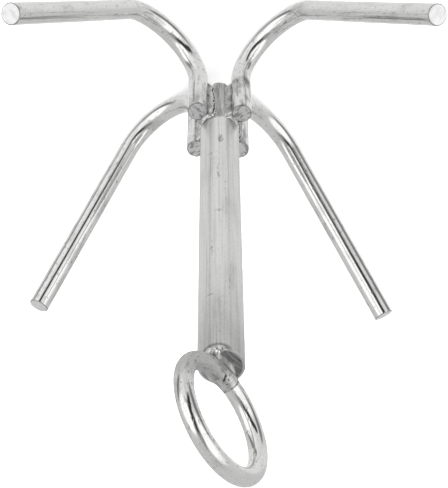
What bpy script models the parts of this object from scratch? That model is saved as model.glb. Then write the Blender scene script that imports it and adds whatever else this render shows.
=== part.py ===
"""Grapnel anchor, welded up from round steel bar.

A straight shank carries four tines round its crown end and a ring on its other end. Each tine is one bar:
a short straight stub lies along the shank, a tight bend turns it outwards, and a straight arm runs back up.
Every bar meets its neighbour through weld metal, and each weld bead is a piece of its own.

Units are metres. The origin is the centre of the shank's crown end face, and +Z runs up the shank to the
ring, so the anchor stands on the four bends of its tines. +X points along the tine called "right".
"""

import math

import bmesh
import bpy

# Driving dimensions
FIT_GAP = 0.0003                # clearance between pieces that touch
SHANK_RADIUS = 0.0125
SHANK_LENGTH = 0.272
TINE_RADIUS = 0.0065
BEND_RADIUS = 0.0345            # of the tine's centreline
CROWN_SETBACK = 0.001           # from the shank's crown end down to the start of the bends
RING_BAR_RADIUS = 0.005
RING_RADIUS = 0.0315            # of the ring's centreline
RING_ROOT_GAP = 0.0015          # from the shank's end face to the ring's bar
RING_TURN = -6.6                # degrees from the plane of the right and left tines
CUT_CHAMFER = 0.0005            # on the rims of the sawn bar ends

# The tines are bent by hand, so they differ a little:
# name, direction round the shank (degrees), length of the stub beside the shank from its cut end to the
# bend, bend (degrees), length of the straight arm
TINES = (
    ("right", 4.8, 0.0400, 144.9, 0.1414),
    ("back", 87.0, 0.0450, 149.6, 0.1395),
    ("left", 179.0, 0.0425, 137.1, 0.1356),
    ("front", 270.0, 0.0425, 144.6, 0.1477),
)

# Weld metal
FILLET_RADIUS = 0.0027          # bead in each valley between a stub and the shank
FILLET_SEAT = 0.0012            # from the surfaces of both bars to that bead's axis
FILLET_BARE_END = 0.0045        # bare length that the bead leaves at the crown end
FILLET_TOE_GAP = 0.0005         # from the bead's upper end down from the stub's cut end
TOE_RADIUS = 0.0019             # bead that wraps under a stub's cut end
TOE_SEAT = 0.0016               # from the shank's surface and the cut end to that bead's axis
TOE_HALF_ANGLE = 26             # degrees round the shank
RING_WELD_SEAT = 0.002          # from the shank's end face to the axes of the beads beside the ring
RING_WELD_HALF_LENGTH = 0.008
SEAM_LENGTH = 0.004             # the ring's own closing weld, along its bar
SEAM_ANGLE = -6                 # degrees round the ring from the point nearest the shank
SEAM_BULGE = 0.00025            # how far the closing weld stands proud of the bar

# The bead on the ring's one side is small and the other's is heavy:
# number, side of the ring's plane, radius, distance from that plane to the bead's axis
RING_WELDS = (
    (1, -1, 0.0030, 0.0039),
    (2, 1, 0.0040, 0.0070),
)
BEAD_RIPPLE = 0.06              # share of a bead's radius
BEAD_END_TAPER = 0.55           # share of a bead's radius left at its two ends

# Fineness of the faceted surfaces
SHANK_SIDES = 48
TINE_BEVEL_STEPS = 8            # a round section has 4 + 2 * steps sides
RING_BEVEL_STEPS = 6
BEAD_BEVEL_STEPS = 3
BEND_SEGMENTS = 20
RING_END_SLANT = 0.00017        # reach off square of the ring's cut ends, from its straight segments
RING_SEGMENTS = math.ceil(math.pi * RING_BAR_RADIUS / RING_END_SLANT)
FILLET_SEGMENTS = 14
SHORT_BEAD_SEGMENTS = 8
SEAM_SEGMENTS = 6
CHAMFER_SEGMENTS = 2
RIM_ANGLE = 60                  # degrees; edges sharper than this are chamfered and shaded sharp
WELD_DISTANCE = 0.00001         # joins a curve's caps to its tube

# Heights and radii that follow from the dimensions above
STUB_AXIS = SHANK_RADIUS + FIT_GAP + TINE_RADIUS
BEND_START = -CROWN_SETBACK
RING_CENTRE = RING_ROOT_GAP + RING_BAR_RADIUS + RING_RADIUS     # above the shank's end face

# Colour, roughness and metallic value of each kind of surface
SHANK_STEEL = ((0.52, 0.52, 0.51), 0.45, 1.0)
BRIGHT_STEEL = ((0.66, 0.66, 0.65), 0.25, 1.0)
WELD_METAL = ((0.42, 0.42, 0.41), 0.40, 1.0)


def clear_scene():
    for scene_object in list(bpy.data.objects):
        bpy.data.objects.remove(scene_object, do_unlink=True)


def new_collection(name):
    collection = bpy.data.collections.new(name)
    bpy.context.scene.collection.children.link(collection)
    return collection


def give_material(target, surface):
    colour, roughness, metallic = surface
    material = bpy.data.materials.new(target.name)
    material.use_nodes = True
    shader = material.node_tree.nodes["Principled BSDF"]
    shader.inputs["Base Color"].default_value = (*colour, 1.0)
    shader.inputs["Roughness"].default_value = roughness
    shader.inputs["Metallic"].default_value = metallic
    target.data.materials.append(material)


def add_frame(name, turn_degrees, height):
    """An empty on the shank's axis that its pieces are placed by."""
    frame = bpy.data.objects.new(name, None)
    frame.rotation_euler.z = math.radians(turn_degrees)
    frame.location.z = height
    parts.objects.link(frame)
    return frame


def shade_round(mesh):
    mesh.shade_smooth()
    mesh.set_sharp_from_angle(angle=math.radians(RIM_ANGLE))


def swept_bar(name, points, radii, bevel_steps, collection, parent=None, closed=False):
    """A round bar along the points, as a mesh object whose end caps are welded on."""
    curve = bpy.data.curves.new(name, "CURVE")
    curve.dimensions = "3D"
    curve.bevel_depth = 1.0
    curve.bevel_resolution = bevel_steps
    curve.use_fill_caps = not closed
    spline = curve.splines.new("POLY")
    spline.points.add(len(points) - 1)
    spline.use_cyclic_u = closed
    for spline_point, position, radius in zip(spline.points, points, radii):
        spline_point.co = (*position, 1.0)
        spline_point.radius = radius
    guide = bpy.data.objects.new(name + "_guide", curve)
    collection.objects.link(guide)
    bpy.context.view_layer.update()
    evaluated = guide.evaluated_get(bpy.context.evaluated_depsgraph_get())
    mesh = bpy.data.meshes.new_from_object(evaluated)
    bpy.data.objects.remove(guide, do_unlink=True)

    work = bmesh.new()
    work.from_mesh(mesh)
    bmesh.ops.remove_doubles(work, verts=work.verts, dist=WELD_DISTANCE)
    bmesh.ops.recalc_face_normals(work, faces=work.faces)
    work.to_mesh(mesh)
    work.free()
    mesh.name = name
    mesh.materials.clear()
    shade_round(mesh)

    bar = bpy.data.objects.new(name, mesh)
    bar.parent = parent
    collection.objects.link(bar)
    return bar


def upright_bar(name, radius, growth, collection):
    """The shank's bar; growth lengthens both ends, for the cutter that clears the shank."""
    length = SHANK_LENGTH + 2 * growth
    mesh = bpy.data.meshes.new(name)
    work = bmesh.new()
    bmesh.ops.create_cone(
        work, cap_ends=True, segments=SHANK_SIDES, radius1=radius, radius2=radius, depth=length)
    bmesh.ops.translate(work, verts=work.verts, vec=(0, 0, SHANK_LENGTH / 2))
    work.to_mesh(mesh)
    work.free()
    shade_round(mesh)
    bar = bpy.data.objects.new(name, mesh)
    collection.objects.link(bar)
    return bar


def chamfer_rims(bar):
    bevel = bar.modifiers.new("rim_chamfer", "BEVEL")
    bevel.width = CUT_CHAMFER
    bevel.segments = CHAMFER_SEGMENTS
    bevel.limit_method = "ANGLE"
    bevel.angle_limit = math.radians(RIM_ANGLE)


def hide_cutter(cutter):
    cutter.hide_render = True
    cutter.display_type = "WIRE"


def cut_away(piece, cutter):
    boolean = piece.modifiers.new("clear_of_" + cutter.name, "BOOLEAN")
    boolean.operation = "DIFFERENCE"
    boolean.object = cutter


def bead_radii(count, radius):
    """Radii along a weld bead: a ripple all along it and a taper at both ends."""
    radii = []
    for step in range(count):
        ripple = 1 + BEAD_RIPPLE * (-1) ** step
        at_end = step in (0, count - 1)
        radii.append(radius * (BEAD_END_TAPER if at_end else ripple))
    return radii


def spread(start, end, segments):
    """Evenly spaced values from start to end, both included."""
    return [start + (end - start) * step / segments for step in range(segments + 1)]


def tine_path(stub_end, bend_degrees, arm_length, end_growth=0.0):
    """A tine's centreline in its own frame: down the stub, round the bend, out and up along the arm.

    end_growth lengthens both ends, for the cutter that clears the tine.
    """
    path = [(STUB_AXIS, 0, stub_end + end_growth)]
    for angle in spread(0, math.radians(bend_degrees), BEND_SEGMENTS):
        outward = STUB_AXIS + BEND_RADIUS * (1 - math.cos(angle))
        path.append((outward, 0, BEND_START - BEND_RADIUS * math.sin(angle)))
    bend = math.radians(bend_degrees)
    bend_end = path[-1]
    reach = arm_length + end_growth
    path.append((bend_end[0] + reach * math.sin(bend), 0, bend_end[2] - reach * math.cos(bend)))
    return path


def fillet_axis():
    """Outward and sideways place of the bead in the valley between a stub and the shank."""
    from_shank = SHANK_RADIUS + FIT_GAP + FILLET_SEAT
    from_stub = TINE_RADIUS + FIT_GAP + FILLET_SEAT
    outward = (from_shank ** 2 - from_stub ** 2 + STUB_AXIS ** 2) / (2 * STUB_AXIS)
    return outward, math.sqrt(from_shank ** 2 - outward ** 2)


def build_tine(name, direction, stub_length, bend_degrees, arm_length, shank_cutter):
    """One tine with the three weld beads that hold its stub to the shank."""
    frame = add_frame("frame_" + name, direction, 0)
    stub_end = BEND_START + stub_length

    path = tine_path(stub_end, bend_degrees, arm_length)
    tine = swept_bar("tine_" + name, path, [TINE_RADIUS] * len(path), TINE_BEVEL_STEPS, parts, frame)
    chamfer_rims(tine)
    give_material(tine, BRIGHT_STEEL)

    grown_path = tine_path(stub_end, bend_degrees, arm_length, FIT_GAP)
    grown_radii = [TINE_RADIUS + FIT_GAP] * len(grown_path)
    tine_cutter = swept_bar("cutter_" + name, grown_path, grown_radii, TINE_BEVEL_STEPS, cutters, frame)
    hide_cutter(tine_cutter)

    beads = []
    outward, sideways = fillet_axis()
    heights = spread(FILLET_BARE_END, stub_end - FILLET_TOE_GAP, FILLET_SEGMENTS)
    for number, side in ((1, -1), (2, 1)):
        points = [(outward, side * sideways, height) for height in heights]
        radii = bead_radii(len(points), FILLET_RADIUS)
        bead_name = f"fillet_{name}_{number}"
        beads.append(swept_bar(bead_name, points, radii, BEAD_BEVEL_STEPS, parts, frame))

    toe_reach = SHANK_RADIUS + TOE_SEAT
    toe_height = stub_end + FIT_GAP + TOE_SEAT
    points = []
    for angle in spread(-math.radians(TOE_HALF_ANGLE), math.radians(TOE_HALF_ANGLE), SHORT_BEAD_SEGMENTS):
        points.append((toe_reach * math.cos(angle), toe_reach * math.sin(angle), toe_height))
    radii = bead_radii(len(points), TOE_RADIUS)
    beads.append(swept_bar("toe_weld_" + name, points, radii, BEAD_BEVEL_STEPS, parts, frame))

    for bead in beads:
        cut_away(bead, shank_cutter)
        cut_away(bead, tine_cutter)
        give_material(bead, WELD_METAL)


def ring_points(start_degrees, end_degrees, segments):
    """Points round the ring's centreline, counted from the one nearest the shank."""
    points = []
    for angle in spread(math.radians(start_degrees), math.radians(end_degrees), segments):
        points.append((RING_RADIUS * math.sin(angle), 0, RING_CENTRE - RING_RADIUS * math.cos(angle)))
    return points


def build_ring(shank_cutter):
    """The ring, its closing weld and the two beads that hold it on the shank's end face."""
    frame = add_frame("frame_ring", RING_TURN, SHANK_LENGTH)

    seam_half = math.degrees(SEAM_LENGTH / 2 / RING_RADIUS)
    ring_inside = RING_RADIUS - RING_BAR_RADIUS
    bar_half = seam_half + math.degrees(FIT_GAP / ring_inside)
    bar_path = ring_points(SEAM_ANGLE + bar_half, SEAM_ANGLE + 360 - bar_half, RING_SEGMENTS)
    ring = swept_bar(
        "ring", bar_path, [RING_BAR_RADIUS] * len(bar_path), RING_BEVEL_STEPS, parts, frame)
    give_material(ring, BRIGHT_STEEL)

    seam_path = ring_points(SEAM_ANGLE - seam_half, SEAM_ANGLE + seam_half, SEAM_SEGMENTS)
    seam_radii = []
    for step in range(len(seam_path)):
        bulge = SEAM_BULGE * math.sin(math.pi * step / SEAM_SEGMENTS)
        seam_radii.append(RING_BAR_RADIUS + bulge)
    seam = swept_bar("ring_seam", seam_path, seam_radii, RING_BEVEL_STEPS, parts, frame)
    give_material(seam, WELD_METAL)

    cutter_path = ring_points(0, 360, RING_SEGMENTS)[:-1]
    cutter_radii = [RING_BAR_RADIUS + SEAM_BULGE + FIT_GAP] * len(cutter_path)
    ring_cutter = swept_bar(
        "cutter_ring", cutter_path, cutter_radii, RING_BEVEL_STEPS, cutters, frame, closed=True)
    hide_cutter(ring_cutter)

    for number, side, radius, offset in RING_WELDS:
        points = []
        for along in spread(-RING_WELD_HALF_LENGTH, RING_WELD_HALF_LENGTH, SHORT_BEAD_SEGMENTS):
            points.append((along, side * offset, RING_WELD_SEAT))
        radii = bead_radii(len(points), radius)
        bead = swept_bar(f"ring_fillet_{number}", points, radii, BEAD_BEVEL_STEPS, parts, frame)
        cut_away(bead, shank_cutter)
        cut_away(bead, ring_cutter)
        give_material(bead, WELD_METAL)


clear_scene()
parts = new_collection("grapnel_anchor")
cutters = new_collection("cutters")

shank = upright_bar("shank", SHANK_RADIUS, 0, parts)
chamfer_rims(shank)
give_material(shank, SHANK_STEEL)
grown_shank = upright_bar("cutter_shank", SHANK_RADIUS + FIT_GAP, FIT_GAP, cutters)
hide_cutter(grown_shank)

for tine_name, *tine_sizes in TINES:
    build_tine(tine_name, *tine_sizes, grown_shank)
build_ring(grown_shank)
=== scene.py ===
"""The looks of the welded grapnel anchor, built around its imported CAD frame. Units are metres, +Z is up."""

import math
import random
from dataclasses import dataclass

import bmesh
import bpy
import numpy as np
from mathutils import Matrix, Vector, noise


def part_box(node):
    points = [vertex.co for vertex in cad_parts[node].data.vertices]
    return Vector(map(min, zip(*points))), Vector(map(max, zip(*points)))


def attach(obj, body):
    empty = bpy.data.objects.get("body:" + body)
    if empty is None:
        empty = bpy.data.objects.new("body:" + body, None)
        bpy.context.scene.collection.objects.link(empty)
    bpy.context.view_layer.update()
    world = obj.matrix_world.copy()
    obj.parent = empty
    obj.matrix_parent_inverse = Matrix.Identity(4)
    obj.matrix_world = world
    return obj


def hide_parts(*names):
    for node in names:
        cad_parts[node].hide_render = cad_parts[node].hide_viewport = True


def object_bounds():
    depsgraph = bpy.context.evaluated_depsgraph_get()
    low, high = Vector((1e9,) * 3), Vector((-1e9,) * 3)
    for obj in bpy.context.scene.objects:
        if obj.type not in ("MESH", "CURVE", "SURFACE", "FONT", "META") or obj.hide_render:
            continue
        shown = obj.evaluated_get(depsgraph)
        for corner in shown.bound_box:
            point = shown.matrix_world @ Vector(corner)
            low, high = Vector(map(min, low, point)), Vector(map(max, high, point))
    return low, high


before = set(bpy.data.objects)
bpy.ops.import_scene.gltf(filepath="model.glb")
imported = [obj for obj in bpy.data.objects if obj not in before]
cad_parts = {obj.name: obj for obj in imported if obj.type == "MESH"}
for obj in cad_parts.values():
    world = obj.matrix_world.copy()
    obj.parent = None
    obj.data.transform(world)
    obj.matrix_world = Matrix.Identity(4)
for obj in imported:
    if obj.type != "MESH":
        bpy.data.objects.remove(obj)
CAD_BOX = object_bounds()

MM = 0.001

# The camera looks down along the shank, upside down, from between the front and right tines.
VIEW_AZIMUTH = math.radians(48.32)      # of the camera, from -Y towards +X
VIEW_ELEVATION = math.radians(53.55)
VIEW_ROLL = math.radians(179.38)
VIEW_DISTANCE = 0.7844
VIEW_TARGET_HEIGHT = 0.1658             # of the aimed point, above the shank's crown end
VIEW_TARGET_SIDE = -0.0021              # of the aimed point, along the level direction across the view
LENS = 100.1                            # mm
SENSOR = 36.0                           # mm, along the image's long side

# Fineness of the surfaces
BAR_SIDES = 56
SHANK_SIDES = 96
RING_BAR_SIDES = 48
STRAIGHT_STEP = 3.0 * MM
BEND_STEP = 1.2 * MM
BEAD_STEP = 0.25 * MM
BEAD_FACE_POINTS = 44
BEAD_BACK_POINTS = 5
SHARP_ANGLE = math.radians(38)
NEAR = 0.1 * MM                         # between the places that give a bar's direction

TINES = ("right", "back", "left", "front")


# ------------ sizes read from the CAD frame

def node_points(name):
    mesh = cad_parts[name].data
    points = np.empty(len(mesh.vertices) * 3)
    mesh.vertices.foreach_get("co", points)
    return points.reshape(-1, 3)


def flat_ends(name):
    """Centre and outward normal of a swept bar's two flat end faces, the one nearest the shank's axis first.

    Each end face is one plane of many triangles, while every other plane of the bar holds only two or so.
    """
    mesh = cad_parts[name].data
    planes = {}
    for face in mesh.polygons:
        key = tuple(round(value, 3) for value in face.normal)
        offset = round(face.normal.dot(face.center), 5)
        planes.setdefault((key, offset), []).append(face)
    fullest = sorted(planes.values(), key=len, reverse=True)[:2]
    ends = []
    for faces in fullest:
        corners = {tuple(round(value, 6) for value in mesh.vertices[index].co)
                   for face in faces for index in face.vertices}
        ends.append((np.mean(sorted(corners), axis=0), np.array(faces[0].normal)))
    return sorted(ends, key=lambda end: math.hypot(end[0][0], end[0][1]))


class Shank:
    low, high = (np.array(corner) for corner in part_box("shank"))
    radius = (high[0] - low[0]) / 2
    crown_end = low[2]
    ring_end = high[2]


class Tine:
    """One tine's centreline: a stub parallel to the shank, a round bend, and a straight arm tangent to it."""

    def __init__(self, name):
        points = node_points("tine_" + name)
        (stub, _), (tip, arm_normal) = flat_ends("tine_" + name)
        self.name = name
        self.heading = math.atan2(tip[1], tip[0])
        self.outward = np.array([math.cos(self.heading), math.sin(self.heading), 0])
        self.sideways = np.array([-math.sin(self.heading), math.cos(self.heading), 0])
        self.radius = np.abs(points @ self.sideways).max()
        self.stub_axis = float(stub @ self.outward)
        self.stub_end = stub[2]
        along = np.array([arm_normal @ self.outward, arm_normal[2]])
        inward = np.array([-along[1], along[0]])
        tip_plane = np.array([tip @ self.outward, tip[2]])
        lowest = np.array([self.stub_axis, points[:, 2].min() + self.radius])
        self.bend_radius = float((lowest - tip_plane) @ inward / (1 - inward.sum()))
        self.bend_start = lowest[1] + self.bend_radius
        self.bend = math.atan2(along[0], -along[1])
        self.stub_length = self.stub_end - self.bend_start
        self.bend_length = self.bend_radius * self.bend
        bend_end = self.plane_point(self.stub_length + self.bend_length)
        arm_length = float(np.linalg.norm(tip_plane - bend_end))
        self.length = self.stub_length + self.bend_length + arm_length

    def plane_point(self, travelled):
        """The centreline's outward and upward place, by the length travelled from the stub's cut end."""
        if travelled <= self.stub_length:
            return np.array([self.stub_axis, self.stub_end - travelled])
        angle = min((travelled - self.stub_length) / self.bend_radius, self.bend)
        on_bend = np.array([self.stub_axis + self.bend_radius * (1 - math.cos(angle)),
                            self.bend_start - self.bend_radius * math.sin(angle)])
        beyond = max(travelled - self.stub_length - self.bend_length, 0)
        return on_bend + beyond * np.array([math.sin(self.bend), -math.cos(self.bend)])

    def point(self, travelled):
        outward, height = self.plane_point(travelled)
        return self.place(outward, 0, height)

    def place(self, outward, sideways, height):
        return self.outward * outward + self.sideways * sideways + np.array([0, 0, height])


class Ring:
    """The ring's centre, plane and bar. Angles run round it from its point nearest the shank."""

    def __init__(self):
        points = node_points("ring")
        low, high = points.min(axis=0), points.max(axis=0)
        _, axes = np.linalg.eigh(np.cov(points[:, :2].T))
        self.across = np.array([axes[0, 1], axes[1, 1], 0]) * (1 if axes[0, 1] > 0 else -1)
        self.normal = np.array([-self.across[1], self.across[0], 0])
        self.bar_radius = np.abs(points @ self.normal).max()
        self.radius = (high[2] - low[2]) / 2 - self.bar_radius
        self.centre = np.array([0, 0, (high[2] + low[2]) / 2])
        seam = node_points("ring_seam").mean(axis=0) - self.centre
        self.seam_angle = math.atan2(seam @ self.across, -seam[2])

    def point(self, angle):
        return self.centre + self.place(self.radius * math.sin(angle), 0, -self.radius * math.cos(angle))

    def place(self, across, off_plane, height):
        return self.across * across + self.normal * off_plane + np.array([0, 0, height])


# ------------ meshes

def ease(share):
    """A smooth rise from 0 to 1 while share goes from 0 to 1."""
    share = min(max(share, 0.0), 1.0)
    return share * share * (3 - 2 * share)


def quarter_round(share):
    """The height of a quarter circle of radius 1, a share of the way along its foot."""
    return math.sqrt(max(0, 1 - (1 - min(share, 1)) ** 2))


def smooth_noise(*place, scale, seed=0.0):
    """Smooth noise from -1 to 1; scale is the size of its lumps in metres."""
    return noise.noise(Vector(place) / scale + Vector((seed, 2.7 * seed, -1.3 * seed)))


def turned(reach, turn):
    """The level parts of a place, by its distance from the shank's axis and its turn round it."""
    return reach * math.cos(turn), reach * math.sin(turn)


def add_object(name, data):
    thing = bpy.data.objects.new(name, data)
    bpy.context.scene.collection.objects.link(thing)
    return thing


def finish_mesh(mesh, materials, replaced=()):
    piece = add_object(mesh.name, mesh)
    for material in materials:
        mesh.materials.append(material)
    mesh.shade_smooth()
    mesh.set_sharp_from_angle(angle=SHARP_ANGLE)
    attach(piece, "root")
    if replaced:
        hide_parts(*replaced)


def add_values(mesh, name, values):
    """Gives each point of a mesh a vector value, which the materials read."""
    attribute = mesh.attributes.new(name, "FLOAT_VECTOR", "POINT")
    attribute.data.foreach_set("vector", np.asarray(values, dtype=float).ravel())


def tube_mesh(name, rings, value_name, values):
    """A closed tube through rings of points, capped at both ends, with one vector value for each point."""
    rings = np.asarray(rings)
    count, around = rings.shape[:2]
    numbers = np.arange(count * around).reshape(count, around)
    after = np.roll(numbers, -1, axis=1)
    sides = np.stack([numbers[:-1], after[:-1], after[1:], numbers[1:]], axis=-1)
    caps = [numbers[0, ::-1].tolist(), numbers[-1].tolist()]
    mesh = bpy.data.meshes.new(name)
    mesh.from_pydata(rings.reshape(-1, 3).tolist(), [], sides.reshape(-1, 4).tolist() + caps)
    work = bmesh.new()
    work.from_mesh(mesh)
    bmesh.ops.recalc_face_normals(work, faces=work.faces)
    work.to_mesh(mesh)
    work.free()
    add_values(mesh, value_name, values)
    return mesh


RIM = 0.55 * MM                 # rounding of the sawn ends' rims
RIM_UNEVEN, RIM_LUMP = 0.5, 2 * MM
RIM_STATIONS = (0, 0.08, 0.25, 0.5, 0.8, 1.2, 1.8)      # from a bar's end, as shares of RIM
DENT_DEPTH = 0.045 * MM         # hand-worked unevenness of the bars
DENT_SIZE = 9 * MM
CUT_RINGS = (0.12, 0.35, 0.6, 0.8, 0.92)    # shares of a bar's radius, on its sawn end faces
CUT_RELIEF = 0.12 * MM          # height of the saw marks
SAW_SIZE, SAW_STRETCH = 1.1 * MM, 0.2       # their width, and that as a share of their length


def bar_mesh(name, radius, stations, sides, centre_at, side_axis, seed, melted_at=None):
    """A round bar swept along centre_at(travelled), with sawn ends, as it comes from rolling and bending.

    melted_at(angle) gives how much further its first end's rim is rounded at an angle round the bar. Its
    "straight" values are each point's place on the bar before it was bent. The faces of its first and last
    cut take its second and third material.
    """
    rings = []
    straight = []
    length = stations[-1]
    cuts = [(0, share) for share in CUT_RINGS]
    cuts += [(travelled, 1) for travelled in stations]
    cuts += [(length, share) for share in reversed(CUT_RINGS)]
    for travelled, share in cuts:
        centre = centre_at(travelled)
        tangent = centre_at(min(travelled + NEAR, length)) - centre_at(max(travelled - NEAR, 0))
        tangent = tangent / np.linalg.norm(tangent)
        other = np.cross(tangent, side_axis)
        to_end = min(travelled, length - travelled)
        ring = []
        for side in range(sides):
            angle = 2 * math.pi * side / sides
            round_x, round_y = math.cos(angle), math.sin(angle)
            spot = (radius * round_x, radius * round_y, travelled)
            dent = smooth_noise(*spot, scale=DENT_SIZE, seed=seed)
            rim = RIM + (melted_at(angle) if melted_at and travelled < length / 2 else 0)
            rim *= 1 + RIM_UNEVEN * smooth_noise(*spot, scale=RIM_LUMP, seed=seed + 5)
            cut_back = rim * (1 - quarter_round(to_end / rim))
            reach = share * (radius + DENT_DEPTH * (dent - 0.5) - cut_back)
            spot = (reach * round_x, SAW_STRETCH * reach * round_y, travelled)
            saw = smooth_noise(*spot, scale=SAW_SIZE, seed=seed + 9)
            relief = CUT_RELIEF * saw if share < 1 else 0
            ring.append(centre + reach * (round_x * other + round_y * side_axis) + relief * tangent)
            straight.append((reach * round_x, reach * round_y, travelled))
        rings.append(ring)
    mesh = tube_mesh(name, rings, "straight", straight)
    cut_faces = len(CUT_RINGS) * sides
    last = (len(rings) - 1) * sides
    for face in mesh.polygons:
        if face.index < cut_faces or face.index == last:
            face.material_index = 1
        elif face.index >= last - cut_faces:
            face.material_index = 2
    return mesh


def stations_along(length, step):
    """Places along a bar: close together over its rounded rims, then a step apart."""
    rim = [RIM * share for share in RIM_STATIONS]
    middle = max(2, round((length - 2 * rim[-1]) / step))
    inner = np.linspace(rim[-1], length - rim[-1], middle + 1)
    return rim[:-1] + list(inner) + [length - place for place in reversed(rim[:-1])]


def tine_stations(tine):
    """Close together round the bend, wider apart on the straight stretches."""
    start, end = tine.stub_length, tine.stub_length + tine.bend_length
    places = []
    for place in stations_along(tine.length, BEND_STEP):
        on_bend = start - 2 * BEND_STEP < place < end + 2 * BEND_STEP
        near_end = min(place, tine.length - place) < 2 * RIM
        if on_bend or near_end or not places or place - places[-1] >= STRAIGHT_STEP - BEND_STEP / 2:
            places.append(place)
    return places


# ------------ weld beads

RIPPLE_PITCH = 1.7 * MM
RIPPLE_HEIGHT = 0.05 * MM
RIPPLE_BOW = 1.1 * MM           # how far a ripple's ends lie ahead of its middle
BEAD_LUMP = 0.28 * MM           # slow unevenness along a bead
BEAD_GRAIN = 0.06 * MM
UNDERCUT_WANDER = 0.16          # how far an undercut wanders, as a share of its bead's width
UNDERCUT_WIDTH = 0.065
UNDERCUT_DEPTH = 0.8 * MM
UNDERCUT_LIP = 0.35 * MM
SUNK = 0.12 * MM                # how far a bead's toes lie inside the bars
BEAD_TIP = 0.06                 # share of a bead's section that is left at its very ends
BEAD_BACK = 0.1 * MM            # how far a bead's hidden back lies below the corner it fills


def bell(offset, width):
    return math.exp(-(offset / width) ** 2)


@dataclass
class Bead:
    """How one weld bead's face is shaped between its toes."""

    seed: int
    crown: float
    undercut: float = 0.0
    undercut_at: float = 0.0
    ripple: float = 1.0

    def groove(self, share, travelled):
        """How far a place lies from the undercut's line, across the bead."""
        wander = smooth_noise(0, 0, travelled, scale=6 * MM, seed=self.seed + 11)
        wander += 0.6 * smooth_noise(0, 0, travelled, scale=1.6 * MM, seed=self.seed + 12)
        return share - self.undercut_at - UNDERCUT_WANDER * wander

    def soot(self, share, travelled):
        """How much darker a place is: 1 in the undercut's groove, and below 0, lighter, on its raised lips.
        """
        off = self.groove(share, travelled)
        gap = 0.9 + 0.6 * smooth_noise(0, travelled, 0, scale=3 * MM, seed=self.seed + 13)
        lip = 0.9 * bell(abs(off) - 2 * UNDERCUT_WIDTH, 0.8 * UNDERCUT_WIDTH)
        return self.undercut * (gap * bell(off, UNDERCUT_WIDTH) - lip)

    def height(self, share, travelled):
        """Height of the face above the straight line between its toes."""
        middle = 4 * share * (1 - share)
        phase = (travelled + RIPPLE_BOW * (2 * share - 1) ** 2) / RIPPLE_PITCH
        phase += 0.25 * smooth_noise(0, 0, travelled, scale=4 * MM, seed=self.seed)
        scale = self.ripple * (abs(math.sin(math.pi * phase)) ** 0.7 - 0.5)
        lump = smooth_noise(share * 4 * MM, 0, travelled, scale=4 * MM, seed=self.seed + 3)
        grain = smooth_noise(share * 5 * MM, 0, travelled, scale=0.6 * MM, seed=self.seed + 7)
        height = self.crown + RIPPLE_HEIGHT * scale + BEAD_LUMP * lump + BEAD_GRAIN * grain
        off = self.groove(share, travelled)
        cut = UNDERCUT_LIP * bell(abs(off) - 2 * UNDERCUT_WIDTH, UNDERCUT_WIDTH)
        cut -= UNDERCUT_DEPTH * bell(off, UNDERCUT_WIDTH)
        return middle ** 0.6 * height + self.undercut * cut


def bead_mesh(name, length, toes_at, root_at, bead, end_round=2.2 * MM):
    """A weld bead.

    toes_at(travelled) gives its two toes and root_at(travelled) the corner it fills, all as points; the
    bead shrinks into that corner over end_round at both ends. Its "bead" values are the share of the way
    from the first toe to the second, how much darker it is in its undercut, and the length travelled along
    it.
    """
    count = max(8, round(length / BEAD_STEP))
    rings = []
    values = []
    for step in range(count + 1):
        travelled = length * step / count
        to_end = min(travelled, length - travelled) / end_round
        fullness = quarter_round(to_end) * (1 - BEAD_TIP) + BEAD_TIP
        first, second = toes_at(travelled)
        root = root_at(travelled)
        chord = second - first
        ahead = root_at(min(travelled + MM, length)) - root_at(max(travelled - MM, 0))
        lift = np.cross(ahead, chord)
        lift = lift / np.linalg.norm(lift)
        if lift @ ((first + second) / 2 - root) < 0:
            lift = -lift
        ring = []
        for point in range(BEAD_FACE_POINTS):
            share = point / (BEAD_FACE_POINTS - 1)
            height = bead.height(share, travelled)
            ring.append(root + fullness * (first + share * chord + height * lift - root))
            values.append((share, bead.soot(share, travelled), travelled))
        for point in range(1, BEAD_BACK_POINTS):
            share = point / BEAD_BACK_POINTS
            corner = (1 - abs(2 * share - 1)) * 0.9
            edge = second if share < 0.5 else first
            ring.append(root + fullness * (edge - root) * (1 - corner) - BEAD_BACK * lift)
            values.append((1 - share, 0, travelled))
        rings.append(ring)
    return tube_mesh(name, rings, "bead", values)


FILLET_SHANK_TOE = math.radians(31)     # round the shank from the tine's direction
FILLET_STUB_TOE = math.radians(62)      # round the stub from the side that faces the shank
FILLET_CROWN = -0.15 * MM               # a little hollow
FILLET_OVERRUN = 1.2 * MM
FILLET_ROOT = 0.8 * MM                  # of its corner, beside the line where stub and shank touch
TOE_WANDER = math.radians(4)
TOE_LUMP, TOE_GRAIN = 3 * MM, 0.9 * MM  # sizes of the toes' unevenness
# The fillets that are undercut: the tine and side, how deep, and where across the bead
UNDERCUTS = {("right", -1): (1.0, 0.20), ("left", 1): (1.0, 0.50), ("back", 1): (0.6, 0.25),
             ("front", -1): (0.4, 0.25)}
SPLAYED = {("right", -1): math.radians(9)}      # how far a bead widens on the shank towards the stub's end


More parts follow.
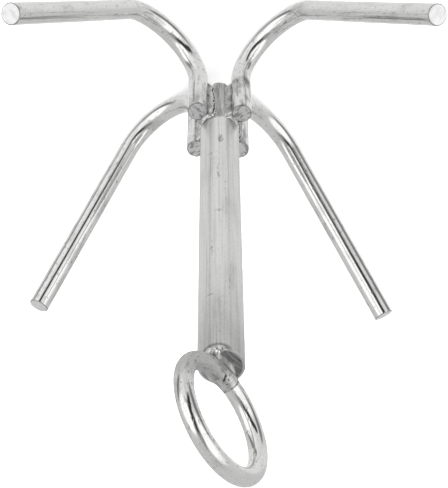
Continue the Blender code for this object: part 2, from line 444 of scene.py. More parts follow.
def add_fillet(tine, number, side, material, seed):
    """The long bead in the valley between a stub and the shank, on one side of the stub."""
    node = f"fillet_{tine.name}_{number}"
    low, high = (corner[2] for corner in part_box(node))
    length = high - low + 2 * FILLET_OVERRUN
    shank_radius = Shank.radius - SUNK
    stub_radius = tine.radius - SUNK
    splay = SPLAYED.get((tine.name, side), 0.0)

    def height(travelled):
        return low - FILLET_OVERRUN + travelled

    def toes_at(travelled):
        wander = smooth_noise(0, 0, travelled, scale=TOE_LUMP, seed=seed)
        wander += 0.5 * smooth_noise(0, 0, travelled, scale=TOE_GRAIN, seed=seed + 1)
        on_shank = FILLET_SHANK_TOE + splay * travelled / length + TOE_WANDER * wander
        wander = 1.5 * smooth_noise(0, 0, travelled, scale=TOE_LUMP, seed=seed + 2)
        on_stub = FILLET_STUB_TOE + TOE_WANDER * wander
        first = tine.place(shank_radius * math.cos(on_shank), side * shank_radius * math.sin(on_shank),
                           height(travelled))
        second = tine.place(tine.stub_axis - stub_radius * math.cos(on_stub),
                            side * stub_radius * math.sin(on_stub), height(travelled))
        return first, second

    def root_at(travelled):
        return tine.place(Shank.radius, side * FILLET_ROOT, height(travelled))

    bead = Bead(seed, FILLET_CROWN, *UNDERCUTS.get((tine.name, side), (0.0, 0.0)))
    mesh = bead_mesh(node + "_bead", length, toes_at, root_at, bead)
    finish_mesh(mesh, [material], [node])


TOE_LEG_ON_SHANK = 2.6 * MM
TOE_LEG_ON_FACE = 1.9 * MM
TOE_LEG_UNEVEN = 0.5
TOE_CROWN = 0.15 * MM


def add_toe_weld(tine, material, seed):
    """The short bead in the corner between a stub's cut face and the shank."""
    node = "toe_weld_" + tine.name
    points = node_points(node)
    reach = math.asin(np.abs(points @ tine.sideways).max() / (points @ tine.outward).max())
    length = 2 * reach * Shank.radius

    def corner(travelled, out, up):
        turn = travelled / Shank.radius - reach
        return tine.place(*turned(Shank.radius + out, turn), tine.stub_end + up)

    def toes_at(travelled):
        down = TOE_LEG_UNEVEN * smooth_noise(0, travelled, 0, scale=3 * MM, seed=seed)
        out = TOE_LEG_UNEVEN * smooth_noise(0, travelled, 0, scale=2 * MM, seed=seed + 4)
        return (corner(travelled, -SUNK, TOE_LEG_ON_SHANK * (1 + down)),
                corner(travelled, TOE_LEG_ON_FACE * (1 + out), -SUNK))

    def root_at(travelled):
        return corner(travelled, -SUNK, -SUNK)

    bead = Bead(seed, TOE_CROWN, ripple=5.0)
    mesh = bead_mesh(node + "_bead", length, toes_at, root_at, bead, end_round=4 * MM)
    finish_mesh(mesh, [material], [node])


# The ring's two beads, a small one and a heavy one. For each side of the ring's plane: the leg along the
# end face, the toe on the bar in degrees from its point nearest that face, the crown, and how far the bead
# runs past its node at its first and second end.
RING_WELDS = {
    -1: (5.6 * MM, 66, 0, 0.5 * MM, 1.5 * MM),
    1: (10.4 * MM, 78, 0.3 * MM, 4.5 * MM, 0.5 * MM),
}
RING_WELD_LUMP = 5 * MM         # size of the unevenness of their toes
RING_WELD_ROOT = 0.3 * MM       # of the corner they fill, from the ring's plane
RING_WELD_INSET = 0.3 * MM      # from the shank's side


def add_ring_fillet(ring, number, side, material, seed):
    """The bead between one side of the ring's bar and the shank's end face."""
    node = f"ring_fillet_{number}"
    full_leg, bar_toe, crown, before, after = RING_WELDS[side]
    across = node_points(node) @ ring.across
    start, end = across.min() - before, across.max() + after
    length = end - start
    bar_radius = ring.bar_radius - SUNK
    rim_radius = Shank.radius - RING_WELD_INSET

    def toes_at(travelled):
        here = start + travelled
        uneven = 1 + 0.10 * smooth_noise(0, travelled, 0, scale=RING_WELD_LUMP, seed=seed)
        room = math.sqrt(max(rim_radius ** 2 - here ** 2, 0))
        leg = min(full_leg * uneven, room)
        uneven = 1 + 0.08 * smooth_noise(travelled, 0, 0, scale=RING_WELD_LUMP, seed=seed + 4)
        toe = math.radians(bar_toe) * uneven
        height = ring.centre[2] - math.sqrt(ring.radius ** 2 - here ** 2)
        return (ring.place(here, side * leg, Shank.ring_end - SUNK),
                ring.place(here, side * bar_radius * math.sin(toe), height - bar_radius * math.cos(toe)))

    def root_at(travelled):
        return ring.place(start + travelled, side * RING_WELD_ROOT, Shank.ring_end - SUNK)

    mesh = bead_mesh(node + "_bead", length, toes_at, root_at, Bead(seed, crown), end_round=3.5 * MM)
    finish_mesh(mesh, [material], [node])


SPILL_FIRST, SPILL_LAST = math.radians(-64), math.radians(22)   # round the shank from the ring's across
SPILL_DOWN = 3.0 * MM
SPILL_IN = 4.0 * MM
SPILL_CROWN = 2.4 * MM
SPILL_ROOT = 4.5 * MM
SPILL_THIN = 0.3 * MM           # of its two legs, at its very ends


def add_ring_spill(ring, material, seed):
    """Weld metal that ran over the rim of the shank's end face at one end of the ring's beads."""
    length = (SPILL_LAST - SPILL_FIRST) * Shank.radius

    def rim(travelled, inward, down):
        turn = SPILL_FIRST + travelled / Shank.radius
        return ring.place(*turned(Shank.radius - inward, turn), Shank.ring_end - down)

    def toes_at(travelled):
        swell = math.sin(math.pi * travelled / length)
        uneven = 1 + 0.2 * smooth_noise(0, travelled, 0, scale=5 * MM, seed=seed)
        return (rim(travelled, SUNK, SPILL_DOWN * uneven * swell + SPILL_THIN),
                rim(travelled, SPILL_IN * swell + SPILL_THIN, SUNK))

    def root_at(travelled):
        return rim(travelled, SPILL_ROOT, SPILL_ROOT)

    mesh = bead_mesh("ring_weld_spill", length, toes_at, root_at, Bead(seed, SPILL_CROWN), end_round=7 * MM)
    finish_mesh(mesh, [material])


# Larger drops where the ring's smaller bead meets its spill: degrees round the shank from the ring's
# across; how far inside the rim, height above the end face and radius, in millimetres
RING_DROPS = (
    (-7, 1.5, -0.2, 2.3),
    (-17, 1.7, -0.2, 2.2),
    (-27, 2.2, -0.1, 1.7),
    (-24, 3.9, 1.3, 0.8),
)
DROP_UNEVEN = 0.1


def add_ring_spatter(ring, material, chance):
    balls = []
    for degrees, inward, up, radius in RING_DROPS:
        level = turned(Shank.radius - inward * MM, math.radians(degrees))
        centre = ring.place(*level, Shank.ring_end + up * MM)
        balls.append((centre, radius * MM * chance.uniform(1 - DROP_UNEVEN, 1)))
    finish_mesh(ball_mesh("spatter_ring", balls), [material])


SEAM_HALF_LENGTH = 5.5 * MM
SEAM_STEPS = 48
SEAM_PROUD = 0.3 * MM
SEAM_COVERED = 0.9              # share of the collar's length that takes the place of the ring's bar
SEAM_LUMP, SEAM_HOLLOW = 2.2 * MM, 1.6 * MM     # sizes of its lumps and its small hollows
SEAM_SHARE = 0.3                # the collar's colour is a bead's this share of the way across
# Burnt pits in the ring's closing weld: degrees round its bar, place along it, radius
SEAM_PITS = ((201, 3.3 * MM, 0.75 * MM), (213, 3.9 * MM, 0.4 * MM), (225, 4.2 * MM, 0.7 * MM))
PIT_DEPTH = 0.7 * MM
SEAM_CRACK_AT = 0.85            # of the dark line from the collar's middle, as a share of its half length
SEAM_CRACK_WIDTH = 0.5 * MM


def burnt_at(turn, along, bar_radius):
    """How far a place on the ring's closing weld lies in its burnt pits; 1 is the bottom of a pit."""
    burnt = 0
    for pit_turn, pit_along, pit_radius in SEAM_PITS:
        aside = (turn - math.radians(pit_turn)) * bar_radius
        burnt += bell(math.hypot(aside, along - pit_along), pit_radius)
    return burnt


def add_ring_seam(ring, material, seed):
    """The weld that closes the ring, a low uneven collar round its bar."""
    rings = []
    values = []
    for step in range(SEAM_STEPS + 1):
        along = SEAM_HALF_LENGTH * (2 * step / SEAM_STEPS - 1)
        centre = ring.point(ring.seam_angle + along / ring.radius)
        outward = (centre - ring.centre) / ring.radius
        swell = math.sqrt(max(0, 1 - (along / SEAM_HALF_LENGTH) ** 2))
        crack = bell(along + SEAM_CRACK_AT * SEAM_HALF_LENGTH, SEAM_CRACK_WIDTH)
        row = []
        for side in range(RING_BAR_SIDES):
            turn = 2 * math.pi * side / RING_BAR_SIDES
            spot = (math.cos(turn) * ring.bar_radius, math.sin(turn) * ring.bar_radius, along)
            lump = smooth_noise(*spot, scale=SEAM_LUMP, seed=seed)
            hollow = max(0, smooth_noise(*spot, scale=SEAM_HOLLOW, seed=seed + 3) - 0.4)
            burnt = burnt_at(turn, along, ring.bar_radius)
            ripple = abs(math.sin(math.pi * (along / RIPPLE_PITCH + 0.6 * lump)))
            proud = SEAM_PROUD * (0.7 + 0.6 * lump + 0.4 * ripple - 3 * hollow)
            reach = ring.bar_radius - SUNK + swell * (SUNK + proud) - PIT_DEPTH * min(burnt, 1)
            row.append(centre + reach * (math.cos(turn) * outward + math.sin(turn) * ring.normal))
            soot = 4 * hollow + 1.1 * burnt + crack * max(0, 0.4 + lump)
            values.append((SEAM_SHARE, min(soot, 1), along))
        rings.append(row)
    mesh = tube_mesh("ring_seam_bead", rings, "bead", values)
    finish_mesh(mesh, [material], ["ring_seam"])


SPATTER_PER_TINE = 34
SPATTER_RADII = (0.2 * MM, 0.8 * MM)
SPATTER_TURNS = (8, 33)         # degrees round the shank, to either side of the stub
SPATTER_HEIGHTS = (-1.5, 3.5)   # mm above the stub's cut end
DROP_SHARE = 0.4                # the drops' colour is a bead's this share of the way across


def ball_mesh(name, balls):
    """Small round drops, each (centre, radius), as one mesh."""
    work = bmesh.new()
    for centre, radius in balls:
        place = Matrix.Translation(Vector(centre)) @ Matrix.Diagonal((radius, radius, radius, 1))
        bmesh.ops.create_icosphere(work, subdivisions=2, radius=1, matrix=place)
    mesh = bpy.data.meshes.new(name)
    work.to_mesh(mesh)
    work.free()
    add_values(mesh, "bead", [(DROP_SHARE, 0, 0)] * len(mesh.vertices))
    return mesh


def add_spatter(tine, material, chance):
    """Drops of weld metal on the shank round a stub's cut end."""
    balls = []
    for _ in range(SPATTER_PER_TINE):
        turn = chance.choice((-1, 1)) * math.radians(chance.uniform(*SPATTER_TURNS))
        height = tine.stub_end + chance.uniform(*SPATTER_HEIGHTS) * MM
        centre = tine.place(*turned(Shank.radius, turn), height)
        balls.append((centre, chance.uniform(*SPATTER_RADII)))
    finish_mesh(ball_mesh("spatter_" + tine.name, balls), [material])


# ------------ materials

class Value:
    """A value that nodes work out at each place. Arithmetic with it adds the nodes that do it."""

    __array_ufunc__ = None      # leaves arithmetic between a numpy number and a Value to this class

    def __init__(self, nodes, socket):
        self.nodes = nodes
        self.socket = socket

    def math(self, operation, other=0.0, clamp=False):
        fed = {0: self, 1: other}
        return self.nodes.value("ShaderNodeMath", fed, operation=operation, use_clamp=clamp)

    def __add__(self, other):
        return self.math("ADD", other)

    __radd__ = __add__

    def __sub__(self, other):
        return self.math("SUBTRACT", other)

    def __rsub__(self, other):
        return self * -1 + other

    def __mul__(self, other):
        return self.math("MULTIPLY", other)

    def __truediv__(self, other):
        return self.math("DIVIDE", other)

    def __abs__(self):
        return self.math("ABSOLUTE")

    def clamped(self):
        return self.math("ADD", clamp=True)

    def rise(self, start, end, low=0.0, high=1.0):
        """low before start, high after end, and a smooth change between."""
        fed = dict(enumerate((self, start, end, low, high)))
        return self.nodes.value("ShaderNodeMapRange", fed, "Result", interpolation_type="SMOOTHSTEP")

    def fall(self, start, end):
        return self.rise(start, end, 1.0, 0.0)

    def parts(self):
        """The x, y and z of a vector."""
        outputs = self.nodes.add("ShaderNodeSeparateXYZ", {0: self}).outputs
        return [Value(self.nodes, output) for output in outputs]


class Nodes:
    """Short calls for building one node tree."""

    def __init__(self, tree):
        self.tree = tree

    def feed(self, socket, value):
        if isinstance(value, Value):
            self.tree.links.new(value.socket, socket)
        else:
            socket.default_value = value

    def add(self, kind, fed, **settings):
        """A new node, with the values in fed given to its inputs."""
        node = self.tree.nodes.new(kind)
        for name, setting in settings.items():
            setattr(node, name, setting)
        for place, value in fed.items():
            self.feed(node.inputs[place], value)
        return node

    def value(self, kind, fed, output=0, **settings):
        return Value(self, self.add(kind, fed, **settings).outputs[output])

    def blend(self, share, first, second):
        """first where share is 0, second where it is 1; both are numbers or values."""
        return self.value("ShaderNodeMix", {0: share, 2: first, 3: second}, data_type="FLOAT")

    def tint(self, share, first, second):
        """The same for two colours."""
        return self.value("ShaderNodeMix", {0: share, 6: first, 7: second}, 2, data_type="RGBA")

    def noise(self, place, size, detail=3.0, stretch=(1.0, 1.0, 1.0), shift=(0.0, 0.0, 0.0)):
        """Noise from 0 to 1 whose lumps are size metres across; stretch lengthens them along an axis."""
        scale = [1.0 / (size * factor) for factor in stretch]
        mapped = self.value("ShaderNodeMapping", {"Vector": place, "Location": shift, "Scale": scale})
        fed = {"Vector": mapped, "Scale": 1.0, "Detail": detail}
        return self.value("ShaderNodeTexNoise", fed, noise_dimensions="3D")

    def mesh_value(self, name):
        """The vector value that the mesh gives each of its points."""
        return self.value("ShaderNodeAttribute", {}, "Vector", attribute_name=name)

    def object_place(self):
        return self.value("ShaderNodeTexCoord", {}, "Object")


class Surface(Nodes):
    """A material while it is built: a metal, unless metallic is 0."""

    def __init__(self, name, metallic=1.0):
        self.material = bpy.data.materials.new(name)
        self.material.use_nodes = True
        super().__init__(self.material.node_tree)
        self.inputs = self.tree.nodes["Principled BSDF"].inputs
        self.inputs["Metallic"].default_value = metallic

    def finish(self, colour, roughness, *bumps):
        """The finished material. Each bump is (height, strength, distance) and lies over the one before."""
        self.feed(self.inputs["Base Color"], colour)
        self.feed(self.inputs["Roughness"], roughness)
        normal = self.inputs["Normal"]
        for height, strength, distance in reversed(bumps):
            fed = {"Height": height, "Strength": strength, "Distance": distance}
            bump = self.add("ShaderNodeBump", fed)
            self.tree.links.new(bump.outputs[0], normal)
            normal = bump.inputs["Normal"]
        return self.material


def grey(level, warm=0.0):
    """A grey colour, with a little less blue in it where it is warm."""
    return level, level, level - warm, 1.0


ZINC_LIGHT, ZINC_DARK, SCORCHED = grey(0.83, 0.01), grey(0.36), grey(0.15)
SCORCH_BACK = 17 * MM           # of the scorched band's middle, before the stain's end
SCORCH_HALF = 7 * MM            # half the band's length
SATIN_ROUGHNESS = 0.62
SATIN_FADING = 30 * MM          # beyond the satin length, where the dulling is weak
WORN_EDGE = 12 * MM             # how uneven the satin's edge is


def bright_bar(name, length, shift, stained_length, stain, scorch=0.0, satin_length=0.0):
    """Bright zinc on smooth bar: cloudy, with fine draw lines and small marks, and dark rims at its cuts.

    It is heat-stained over the first stained_length from its first end, with a scorched band across that
    stretch, and satin over satin_length.
    """
    metal = Surface(name)
    place = metal.mesh_value("straight")
    travelled = place.parts()[2]
    clouds = metal.noise(place, 8 * MM, 5.0, (1, 1, 2.2), shift)
    lines = metal.noise(place, 0.6 * MM, 2.0, (1, 1, 50), shift)
    grain = metal.noise(place, 0.45 * MM, 2.0, (1, 1, 2), shift)
    waves = metal.noise(place, 6 * MM, 2.0, (1, 1, 3), shift)
    marks = metal.noise(place, 1.8 * MM, 4.0, (1, 1, 1.8), shift).rise(0.60, 0.69)
    blotches = metal.noise(place, 4.0 * MM, 4.0, (1, 1, 3.5), shift)
    stained = travelled.fall(stained_length * 0.6, stained_length) * blotches.rise(0.46, 0.64)
    from_band = abs(travelled - (stained_length - SCORCH_BACK))
    scorched = from_band.fall(0.0, SCORCH_HALF) * blotches.rise(0.30, 0.62)
    rims = travelled.math("MINIMUM", length - travelled).fall(0.5 * RIM, RIM)
    worn = travelled + blotches * WORN_EDGE
    satin = worn.fall(satin_length - 4 * MM, satin_length + 8 * MM)
    dulled = worn.fall(satin_length, satin_length + SATIN_FADING) if satin_length else 0.0
    share = (clouds.rise(0.50, 0.72) * 0.32 + marks * 0.55 + lines.rise(0.50, 0.75) * 0.22
             + grain.rise(0.45, 0.8) * 0.35 + stained * stain + satin * 0.16 + dulled * 0.20 + rims * 0.8)
    zinc = metal.tint(share.clamped(), ZINC_LIGHT, ZINC_DARK)
    polish = clouds.rise(0.35, 0.75, 0.08, 0.18)
    return metal.finish(
        metal.tint(scorched * scorch, zinc, SCORCHED), metal.blend(satin, polish, SATIN_ROUGHNESS),
        (waves, 0.5, 0.10 * MM), (lines, 0.25, 0.03 * MM), (grain, 0.25, 0.03 * MM), (marks, 0.5, -0.05 * MM))


SHANK_LIGHT, SHANK_DARK = grey(0.84, 0.01), grey(0.20)
# Long faint lines along the shank: their direction from its axis, from +X, and how dark they are. Those at
# -13.5 and -66.5 degrees, either side of the view, are painted reflections; the rest are draw lines.
SHANK_LINES_AND_REFLECTIONS = ((-13.5, 0.30), (-40, 0.16), (-66.5, 0.26), (35, 0.2), (98, 0.25), (141, 0.2), (-157, 0.28),
               (-109, 0.2))
SHANK_LINE_WIDTH = 4.5          # degrees
LINES_FADING = (110 * MM, 210 * MM)   # where the lines grow faint, from the crown end
CROWN_DARK_REACH = 40 * MM           # how far the darker metal reaches from the crown end
CROWN_EDGE = 5 * MM             # how uneven its edge is
HALO_WIDTH = 3.6 * MM           # of the darker band round the spill of the ring's weld
# Scuffs on the shank: direction from the axis; distance from the crown end, half width and half length, in
# millimetres; how dark
SCUFFS = (
    (-44.5, 70.5, 1.9, 6.0, 0.85),
    (-38.5, 107, 1.2, 9.0, 0.75),
    (-22, 86, 4.5, 1.6, 0.35),
    (-55.5, 127.5, 0.9, 2.2, 0.7),
    (-38, 149, 3.2, 1.8, 0.45),
    (-19, 185, 0.9, 9.0, 0.7),
    (-66, 219, 0.8, 8.0, 0.5),
)


def degrees_off(place, degrees):
    """Degrees round the shank between a place on it and one direction from its axis."""
    x, y, _ = place.parts()
    off = abs(y.math("ARCTAN2", x) * (180 / math.pi) - degrees)
    return off.math("MINIMUM", abs(360.0 - off))


def shank_lines_and_reflections(metal, place):
    """Soft draw lines along the shank, and the two painted reflections among them."""
    wander = metal.noise(place, 12 * MM, 2.0, (1, 1, 3)) * 3.0
    total = 0.0
    for degrees, strength in SHANK_LINES_AND_REFLECTIONS:
        off = degrees_off(place, degrees) + wander
        total += off.fall(1.2, 1.2 + SHANK_LINE_WIDTH) * strength
    return total


def stub_end_tongues(place, tines):
    """Darker tongues on the shank beyond each stub's cut end."""
    total = 0.0
    for tine in tines:
        from_stub = place.parts()[2] - tine.stub_end
        half_width = from_stub.rise(0.0, 18 * MM, 27.0, 2.0)
        inside = half_width - degrees_off(place, math.degrees(tine.heading))
        total += inside.rise(-1.0, 8.0) * from_stub.fall(11 * MM, 18 * MM)
    return total


def scuff_marks(metal, place):
    """Ragged scuffs on the shank's front."""
    x, y, height = place.parts()
    total = 0.0
    for degrees, distance, half_width, half_length, strength in SCUFFS:
        angle = math.radians(degrees)
        beside = (y * math.cos(angle) - x * math.sin(angle)) / (half_width * MM)
        along = (height - (Shank.crown_end + distance * MM)) / (half_length * MM)
        mark = (beside * beside + along * along).rise(0.3, 1.0, strength, 0.0)
        total += mark * degrees_off(place, degrees).fall(60, 80)
    return total * metal.noise(place, 1.5 * MM, 3.0, (1, 1, 2.5)).rise(0.42, 0.58)


def spill_halo(place, from_ring, ring):
    """A narrow darker band round the weld metal that ran over the shank's rim."""
    middle = math.degrees(math.atan2(ring.across[1], ring.across[0]) + (SPILL_FIRST + SPILL_LAST) / 2)
    off = degrees_off(place, middle) / math.degrees(SPILL_LAST - SPILL_FIRST)
    swell = (off.math("MINIMUM", 0.5) * math.pi).math("COSINE")
    beyond = from_ring - swell * SPILL_DOWN
    return beyond.fall(HALO_WIDTH * 0.4, HALO_WIDTH) * swell.rise(0.0, 0.35)


def shank_bar(name, tines, ring):
    """Matt drawn bar: long draw lines and two painted reflections along it, scuffs, and darker metal at both
    welded ends.
    """
    metal = Surface(name)
    place = metal.object_place()
    travelled = place.parts()[2] - Shank.crown_end
    from_ring = (Shank.ring_end - Shank.crown_end) - travelled
    clouds = metal.noise(place, 14 * MM, 4.0, (1, 1, 3))
    lines = metal.noise(place, 1.1 * MM, 3.0, (1, 1, 60))
    grain = metal.noise(place, 0.6 * MM, 3.0, (1, 1, 3))
    scuffs = metal.noise(place, 4 * MM, 5.0, (1.6, 1.6, 1), (3, 1, 2)).rise(0.66, 0.74)
    edge = metal.noise(place, 6 * MM, 3.0) * CROWN_EDGE
    from_crown = travelled + edge
    streaks = metal.noise(place, 1.7 * MM, 3.0, (1, 1, 14)).rise(0.36, 0.64, 0.30, 0.74)
    crown = from_crown.fall(CROWN_DARK_REACH + 5 * MM, CROWN_DARK_REACH + 8 * MM) * streaks
    lined = from_crown.rise(CROWN_DARK_REACH, CROWN_DARK_REACH + 14 * MM) * travelled.rise(*LINES_FADING, 1.0, 0.35)
    dulled = from_ring.fall(10 * MM, 36 * MM)
    warmed = from_ring.fall(12 * MM, 95 * MM)
    halo = spill_halo(place, from_ring + edge * 0.3, ring)
    share = (lines.rise(0.45, 0.75) * 0.22 + clouds.rise(0.5, 0.75) * 0.14 + grain.rise(0.45, 0.75) * 0.16
             + scuffs * 0.30 + shank_lines_and_reflections(metal, place) * lined + crown + halo * 0.45 + dulled * 0.18
             + warmed * 0.15 + stub_end_tongues(place, tines) * 0.36 + scuff_marks(metal, place) * 0.7)
    return metal.finish(
        metal.tint(share.clamped(), SHANK_LIGHT, SHANK_DARK), clouds.rise(0.3, 0.8, 0.36, 0.5),
        (lines, 0.3, 0.04 * MM), (grain, 0.3, 0.04 * MM), (scuffs, 0.4, -0.06 * MM))


def sawn_face(name, radius, light, dark, rim_line_and_highlight, shift=0.0, line_size=0.5 * MM, lined=0.4):
    """A sawn end: fine saw lines in slow arcs, uneven dark patches, and a rim of its own colour: a dark burr
    on the tines' and the ring's cut ends, and on the shank's end a painted highlight along its rounded rim.

    lined is the lines' share of what is dark, and the patches have the rest.
    """
    metal = Surface(name)
    place = metal.mesh_value("straight")
    x, y, _ = place.parts()
    rim = ((x * x + y * y).math("SQRT") / radius).rise(0.86, 0.92)
    bowed = y + x * x * (0.25 / radius)
    lines = metal.noise(metal.value("ShaderNodeCombineXYZ", {0: bowed, 1: shift}), line_size, 2.0)
    patches = metal.noise(place, 5 * MM, 4.0, (1, 0.5, 1), (shift, shift, 0.0))
    share = lines.rise(0.35, 0.65) * lined + patches.rise(0.5, 0.6) * (1 - lined)
    colour = metal.tint(rim, metal.tint(share.clamped(), light, dark), rim_line_and_highlight)
    return metal.finish(colour, patches.rise(0.3, 0.7, 0.42, 0.55), (lines, 0.5, 0.05 * MM))


WELD_DARK = grey(0.05)
SPATTER_LIGHT, SPATTER_DARK = grey(0.93, 0.01), grey(0.35)


def weld_metal(name, light, toe, shift=(0.0, 0.0, 0.0)):
    """Weld bead: smooth metal, darker along its first toe and with painted shade in the crease along its
    second toe, with dross in patches, small pits, and darker places in its undercuts and hollows.

    toe is the share of the bead's width that is dark along its first toe.
    """
    metal = Surface(name)
    place = metal.object_place()
    across, soot, _ = metal.mesh_value("bead").parts()
    patches = metal.noise(place, 3.2 * MM, 4.0, (1, 1, 2), shift)
    grain = metal.noise(place, 0.5 * MM, 3.0, shift=shift)
    pits = metal.noise(place, 1.3 * MM, 2.0, shift=shift).rise(0.70, 0.76)
    # across.rise(0.55, 1.0) is painted shade in the crease where the bead meets the part at its second toe
    share = (patches.rise(0.45, 0.66) * 0.35 + grain.rise(0.4, 0.7) * 0.15 + pits * 0.6
             + across.rise(0.55, 1.0) * 0.55 + across.fall(0.0, toe) * 0.4 + soot)
    return metal.finish(
        metal.tint(share.clamped(), light, WELD_DARK), patches.rise(0.35, 0.7, 0.27, 0.45),
        (grain, 0.5, 0.06 * MM), (pits, 0.7, -0.15 * MM))


def spatter_metal(name):
    """Drops and runs of clean bright weld metal."""
    metal = Surface(name)
    place = metal.object_place()
    patches = metal.noise(place, 1.5 * MM, 3.0)
    colour = metal.tint(patches.rise(0.5, 0.75, 0.0, 0.6), SPATTER_LIGHT, SPATTER_DARK)
    grain = metal.noise(place, 0.4 * MM, 2.0)
    return metal.finish(colour, patches.rise(0.35, 0.7, 0.16, 0.35), (grain, 0.4, 0.04 * MM))


# ------------ the anchor

# The light, the dark and the rim of the stubs', the tips' and the shank's cut faces; the shank's light rim
# colour is a painted highlight
STUB_CUT = (grey(0.86), grey(0.30), grey(0.20))
TIP_CUT = (grey(0.92), grey(0.82), grey(0.55))
END_CUT = (grey(0.44), grey(0.12), grey(0.62))
# How darkly heat has stained each tine's stub, and how dark the scorched band at its bend is
STAINS = {"right": (0.45, 0.0), "back": (0.45, 0.0), "left": (1.0, 0.2), "front": (0.9, 1.0)}
STAIN_BEYOND = 8 * MM           # how far the stain runs on past the straight stub
WELD_GREY, WELD_CLEAN = grey(0.66, 0.01), grey(0.95, 0.01)
RING_SATIN = 52 * MM            # how far the ring is dulled by its welding, from the closing weld
MELTED_RIM = 4.2 * MM           # how far the rim of the crown end is melted back at each tine
MELTED_FULL, MELTED_END = math.radians(23), math.radians(31)    # round the shank from a tine's direction
MELTED_STATIONS = (0.3, 0.45, 0.6, 0.8, 1.05, 1.3)      # from the crown end, as shares of MELTED_RIM


def add_shank(tines, ring):
    length = Shank.ring_end - Shank.crown_end

    def melted_at(angle):
        """Extra rounding of the crown end's rim, by the angle round the bar, from -X towards +Y."""
        turns = [(math.pi - angle - tine.heading) % (2 * math.pi) for tine in tines]
        nearest = min(min(turn, 2 * math.pi - turn) for turn in turns)
        return MELTED_RIM * ease((MELTED_END - nearest) / (MELTED_END - MELTED_FULL))

    near_rim = [MELTED_RIM * share for share in MELTED_STATIONS]
    stations = sorted(stations_along(length, STRAIGHT_STEP) + near_rim)
    mesh = bar_mesh(
        "shank_bar", Shank.radius, stations, SHANK_SIDES,
        lambda travelled: np.array([0, 0, Shank.crown_end + travelled]), np.array([0.0, 1.0, 0.0]), 11,
        melted_at)
    cut = sawn_face("shank_cut", Shank.radius, *END_CUT, line_size=1.0 * MM, lined=0.8)
    drawn = shank_bar("shank_drawn", tines, ring)
    finish_mesh(mesh, [drawn, cut, cut], ["shank"])


def add_tine(tine, number):
    mesh = bar_mesh(f"tine_{tine.name}_bar", tine.radius, tine_stations(tine), BAR_SIDES, tine.point,
                    tine.sideways, seed=20 + number)
    shift = (1.7 * number, 0.9 * number, 2.3 * number)
    stain, scorch = STAINS[tine.name]
    stained_length = tine.stub_length + STAIN_BEYOND
    metal = bright_bar("tine_zinc_" + tine.name, tine.length, shift, stained_length, stain, scorch)
    stub_cut = sawn_face("stub_cut_" + tine.name, tine.radius, *STUB_CUT, 1.3 * number)
    tip_cut = sawn_face("tip_cut_" + tine.name, tine.radius, *TIP_CUT, 2.1 * number)
    finish_mesh(mesh, [metal, stub_cut, tip_cut], ["tine_" + tine.name])


def add_ring(ring):
    gap = SEAM_COVERED * SEAM_HALF_LENGTH / ring.radius
    length = (2 * math.pi - 2 * gap) * ring.radius
    mesh = bar_mesh(
        "ring_bar", ring.bar_radius, stations_along(length, BEND_STEP), RING_BAR_SIDES,
        lambda travelled: ring.point(ring.seam_angle + gap + travelled / ring.radius), ring.normal, seed=31)
    metal = bright_bar("ring_zinc", length, (4.1, 0.3, 1.9), 18 * MM, 0.6, satin_length=RING_SATIN)
    cut = sawn_face("ring_cut", ring.bar_radius, *STUB_CUT)
    finish_mesh(mesh, [metal, cut, cut], ["ring"])


def add_anchor():
    chance = random.Random(5)
    weld = weld_metal("weld_bead", WELD_GREY, 0.12)
    clean_weld = weld_metal("weld_clean", WELD_CLEAN, 0.24, (2.0, 5.0, 1.0))
    bright_weld = spatter_metal("weld_spatter")
    tines = [Tine(name) for name in TINES]
    ring = Ring()
    add_shank(tines, ring)
    for number, tine in enumerate(tines):
        add_tine(tine, number)
        add_fillet(tine, 1, -1, weld, seed=40 + 4 * number)
        add_fillet(tine, 2, 1, weld, seed=42 + 4 * number)
        add_toe_weld(tine, weld, seed=60 + number)
        add_spatter(tine, bright_weld, chance)
    add_ring(ring)
    add_ring_seam(ring, weld, seed=71)
    add_ring_fillet(ring, 1, -1, clean_weld, seed=72)
    add_ring_fillet(ring, 2, 1, weld, seed=75)
    add_ring_spill(ring, weld, seed=79)
    add_ring_spatter(ring, clean_weld, chance)


# ------------ studio

def view_axes():
    """The level direction across the view, and the camera's right, up and back."""
    back = Vector((math.sin(VIEW_AZIMUTH) * math.cos(VIEW_ELEVATION),
                   -math.cos(VIEW_AZIMUTH) * math.cos(VIEW_ELEVATION), math.sin(VIEW_ELEVATION)))
    level = Vector((math.cos(VIEW_AZIMUTH), math.sin(VIEW_AZIMUTH), 0))
    upright = back.cross(level)
    right = math.cos(VIEW_ROLL) * level + math.sin(VIEW_ROLL) * upright
    up = -math.sin(VIEW_ROLL) * level + math.cos(VIEW_ROLL) * upright
    return level, right, up, back


def add_camera():
    level, right, up, back = view_axes()
    camera = add_object("camera", bpy.data.cameras.new("camera"))
    camera.data.lens = LENS
    camera.data.sensor_width = SENSOR
    target = Vector((0, 0, Shank.crown_end + VIEW_TARGET_HEIGHT)) + VIEW_TARGET_SIDE * level
    facing = Matrix((right, up, back)).transposed()
    camera.matrix_world = Matrix.Translation(target + VIEW_DISTANCE * back) @ facing.to_4x4()
    bpy.context.scene.camera = camera


FLOOR_HALF = 20.0               # so far that its edge is near the horizon in low views
FLOOR_DARK, FLOOR_LIGHT = grey(0.92), grey(0.94)
FLOOR_GRAIN = 0.05              # metres
# Soft boxes and dark gaps of the room, each over the ones before: its middle's heading from the camera's and
# climb above the horizon, its half width and half height (all degrees), the softness of its edge (a share of
# those), its brightness, and its slant (degrees of heading per degree of climb)
ROOM_PATCHES = (
    (-58, 31, 34, 33, 0.5, 1.28, 0.0),
    (50, 21, 34, 32, 0.5, 1.32, 0.0),
    (22, -20, 16, 26, 0.6, 0.98, 0.0),
    (-60, -25, 19, 15, 0.7, 0.24, 0.0),
    (90, -28, 15, 18, 0.7, 0.26, 0.9),
    (0, 62, 32, 26, 0.5, 0.36, 0.0),
    (-5, 26, 13, 27, 0.6, 0.05, 0.1),
    (-11, -2, 10, 17, 0.6, 0.05, 0.6),
)
ROOM_BACK, ROOM_FRONT, ROOM_FLOOR, ROOM_TOP = 0.64, 0.80, 0.84, 0.62


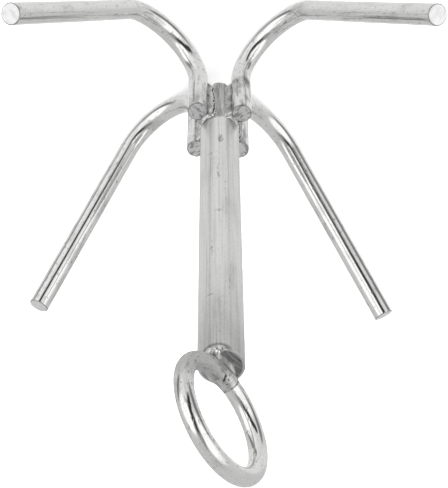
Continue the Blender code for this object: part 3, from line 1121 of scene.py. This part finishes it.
def add_floor():
    height = CAD_BOX[0][2]
    mesh = bpy.data.meshes.new("floor")
    work = bmesh.new()
    bmesh.ops.create_grid(work, x_segments=1, y_segments=1, size=FLOOR_HALF)
    bmesh.ops.translate(work, verts=work.verts, vec=(0, 0, height))
    work.to_mesh(mesh)
    work.free()
    floor = add_object("floor", mesh)
    paint = Surface("floor_white", metallic=0.0)
    grain = paint.noise(paint.object_place(), FLOOR_GRAIN, 2.0)
    floor.data.materials.append(paint.finish(paint.tint(grain, FLOOR_DARK, FLOOR_LIGHT), 0.9))
    floor.visible_glossy = False


def room_patch(heading, climb, patch):
    """1 inside one patch of the room and 0 outside it."""
    middle, height, half_width, half_height, soft, _, slant = patch
    across = (heading - (climb * slant + middle)) / half_width
    upward = (climb - height) / half_height
    reach = abs(across).math("POWER", 3.0) + abs(upward).math("POWER", 3.0)
    return reach.fall(1 - soft, 1 + soft)


def add_studio():
    """A pale room: soft boxes either side of the camera and darker gaps between and below them."""
    world = bpy.data.worlds.new("studio")
    bpy.context.scene.world = world
    world.use_nodes = True
    nodes = Nodes(world.node_tree)
    direction = nodes.value("ShaderNodeTexCoord", {}, "Generated")
    fed = {"Vector": direction, "Angle": math.pi / 2 - VIEW_AZIMUTH}
    x, y, z = nodes.value("ShaderNodeVectorRotate", fed, rotation_type="Z_AXIS").parts()
    heading = y.math("ARCTAN2", x) * (180 / math.pi)
    climb = z.math("ARCSINE") * (180 / math.pi)
    level = nodes.blend(abs(heading).rise(70, 120), ROOM_FRONT, ROOM_BACK)
    level = nodes.blend(climb.rise(-50, -30), ROOM_FLOOR, level)
    level = nodes.blend(climb.rise(45, 70), level, ROOM_TOP)
    for patch in ROOM_PATCHES:
        level = nodes.blend(room_patch(heading, climb, patch), level, patch[5])
    background = world.node_tree.nodes["Background"]
    nodes.feed(background.inputs["Strength"], level)
    background.inputs["Color"].default_value = grey(1.0)


# The lights' names, places, diameters and powers in watts
LIGHTS = (
    ("overhead", (0.2, -0.2, 2.2), 1.8, 48),
    ("key", (1.6, -1.2, 1.6), 1.4, 36),
)


def add_light(name, place, size, power):
    light = add_object(name, bpy.data.lights.new(name, "AREA"))
    light.data.shape = "DISK"
    light.data.size = size
    light.data.energy = power
    light.location = place
    light.rotation_euler = (-Vector(place)).to_track_quat("-Z", "Y").to_euler()
    light.visible_glossy = False


add_camera()
add_studio()
for light in LIGHTS:
    add_light(*light)
add_floor()
add_anchor()
bpy.context.scene.view_settings.view_transform = "Standard"
